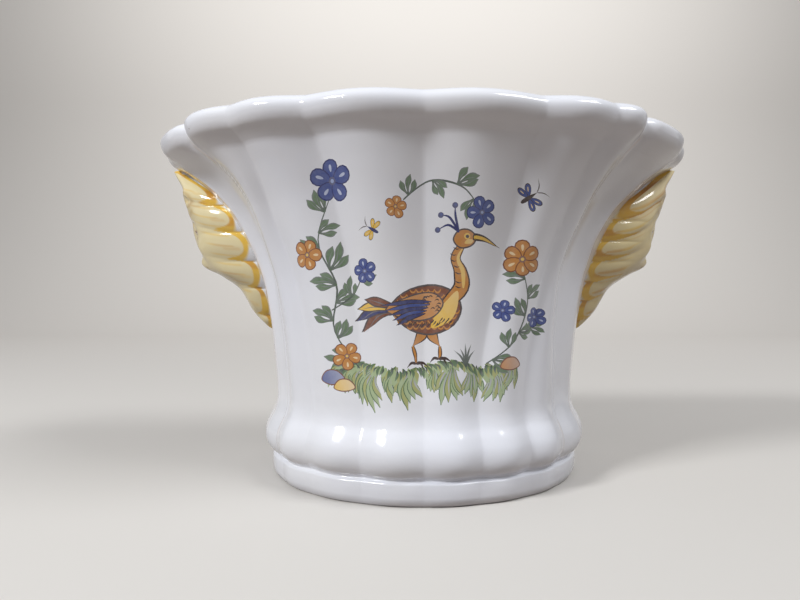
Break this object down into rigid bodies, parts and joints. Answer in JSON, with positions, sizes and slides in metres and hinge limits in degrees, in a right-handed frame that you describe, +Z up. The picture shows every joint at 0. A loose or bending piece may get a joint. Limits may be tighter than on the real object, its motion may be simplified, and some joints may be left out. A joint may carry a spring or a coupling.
{
  "type": "faience flower holder with pierced cover",
  "caption": "Low flaring half-oval flower holder with fluted front, lion masks at the ends, flat back and a loose pierced cover.",
  "frame": {"origin": "on the table, at the middle of the length and of the depth", "axes": "+X along the length, to the viewer's right of the front; +Y towards the flat back; +Z up"},
  "size_m": [0.2606, 0.1328, 0.162],
  "materials": {
    "white_glaze": "gloss",
    "mask_glaze": "gloss"
  },
  "bodies": {
    "vessel": {"front_wall": "white_glaze", "back_wall": "white_glaze", "floor_slab": "white_glaze", "cover_ledge": "white_glaze", "lion_mask_right": "mask_glaze", "lion_mask_left": "mask_glaze"},
    "cover": {"flower_cover": "white_glaze"}
  },
  "joints": [
    {"name": "cover_lift", "type": "slide", "parent": "vessel", "child": "cover", "axis": [0, 0, 1], "range_m": [0, 0.06]}
  ]
}
